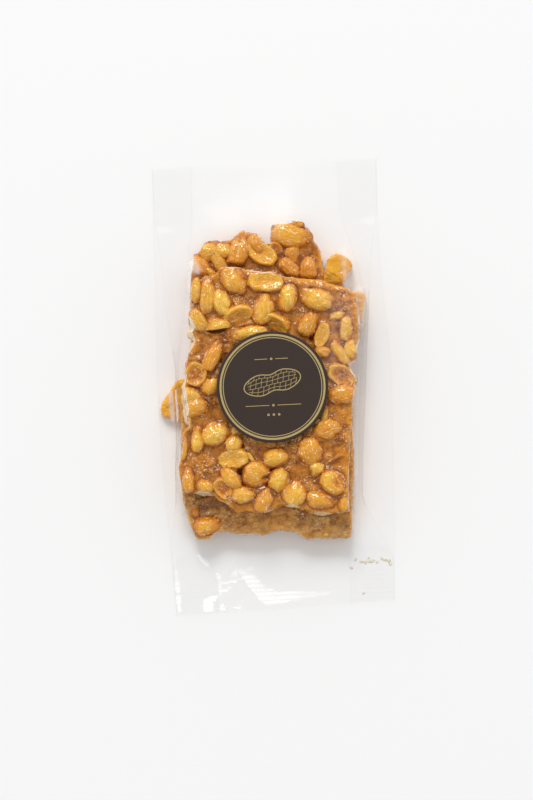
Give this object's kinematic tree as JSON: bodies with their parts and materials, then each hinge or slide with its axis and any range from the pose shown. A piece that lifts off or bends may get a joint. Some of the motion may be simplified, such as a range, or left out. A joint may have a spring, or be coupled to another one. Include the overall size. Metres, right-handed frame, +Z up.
{
  "type": "peanut brittle in a clear bag",
  "caption": "Slabs of golden peanut brittle sealed in a clear gusseted film bag with a round dark sticker, lying flat on its back.",
  "frame": {"origin": "middle of the bag's outline, on the surface it rests on", "axes": "+Y along the bag's long side, towards the end where the peanuts of the back slab show; +Z up, out of the front with the sticker"},
  "size_m": [0.108, 0.205, 0.0247],
  "materials": {
    "bag": "clear glossy film over toffee-brown caramel with golden roasted peanuts",
    "film": "clear thin film, glossy, with soft creases and crimped seals",
    "caramel": "hard set caramel, glossy and full of fine bubbles",
    "peanut": "roasted blanched peanuts, pale where cut",
    "label": "dark brown paper sticker, smooth and slightly glossy",
    "gold": "thin printed gold lines"
  },
  "bodies": {
    "root": {"bag": "bag", "label": "label"}
  },
  "joints": []
}
